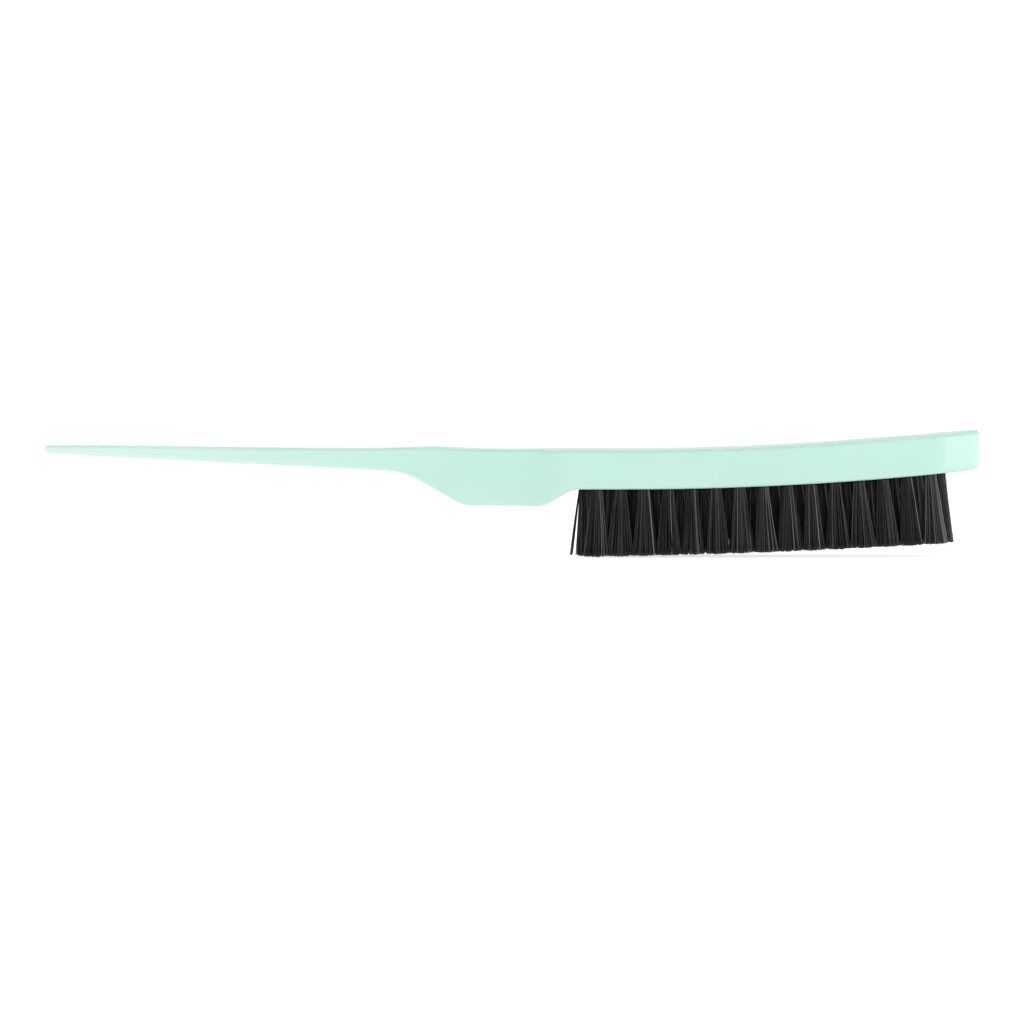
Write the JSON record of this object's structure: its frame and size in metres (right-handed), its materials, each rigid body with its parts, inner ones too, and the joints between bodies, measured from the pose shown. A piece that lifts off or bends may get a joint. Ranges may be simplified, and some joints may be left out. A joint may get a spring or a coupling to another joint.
{
  "type": "teasing brush",
  "caption": "Slim rat-tail teasing brush: one-piece pastel plastic handle with a tapered tail, deep grip and curved head set with staggered rows of black nylon tufts.",
  "frame": {"origin": "the middle of the brush's length and width, at the level of its lowest bristle tips", "axes": "+X along the brush from the tail's tip to the nose, +Y across the head, +Z from the bristle tips up to the back"},
  "size_m": [0.235, 0.012, 0.0319],
  "materials": {
    "handle_plastic": "smooth semi-gloss moulded plastic, pale mint",
    "bristle_nylon": "black nylon filament, satin",
    "anchor_wire": "flattened steel wire"
  },
  "bodies": {
    "root": {"handle": "handle_plastic", "near_row_anchors": "anchor_wire", "near_tuft_01": "bristle_nylon", "near_tuft_02": "bristle_nylon", "near_tuft_03": "bristle_nylon", "near_tuft_04": "bristle_nylon", "near_tuft_05": "bristle_nylon", "near_tuft_06": "bristle_nylon", "near_tuft_07": "bristle_nylon", "near_tuft_08": "bristle_nylon", "near_tuft_09": "bristle_nylon", "near_tuft_10": "bristle_nylon", "near_tuft_11": "bristle_nylon", "near_tuft_12": "bristle_nylon", "near_tuft_13": "bristle_nylon", "near_tuft_14": "bristle_nylon", "near_tuft_15": "bristle_nylon", "middle_row_anchors": "anchor_wire", "middle_tuft_01": "bristle_nylon", "middle_tuft_02": "bristle_nylon", "middle_tuft_03": "bristle_nylon", "middle_tuft_04": "bristle_nylon", "middle_tuft_05": "bristle_nylon", "middle_tuft_06": "bristle_nylon", "middle_tuft_07": "bristle_nylon", "middle_tuft_08": "bristle_nylon", "middle_tuft_09": "bristle_nylon", "middle_tuft_10": "bristle_nylon", "middle_tuft_11": "bristle_nylon", "middle_tuft_12": "bristle_nylon", "middle_tuft_13": "bristle_nylon", "middle_tuft_14": "bristle_nylon", "middle_tuft_15": "bristle_nylon", "middle_tuft_16": "bristle_nylon", "far_row_anchors": "anchor_wire", "far_tuft_01": "bristle_nylon", "far_tuft_02": "bristle_nylon", "far_tuft_03": "bristle_nylon", "far_tuft_04": "bristle_nylon", "far_tuft_05": "bristle_nylon", "far_tuft_06": "bristle_nylon", "far_tuft_07": "bristle_nylon", "far_tuft_08": "bristle_nylon", "far_tuft_09": "bristle_nylon", "far_tuft_10": "bristle_nylon", "far_tuft_11": "bristle_nylon", "far_tuft_12": "bristle_nylon", "far_tuft_13": "bristle_nylon", "far_tuft_14": "bristle_nylon", "far_tuft_15": "bristle_nylon"}
  },
  "joints": []
}
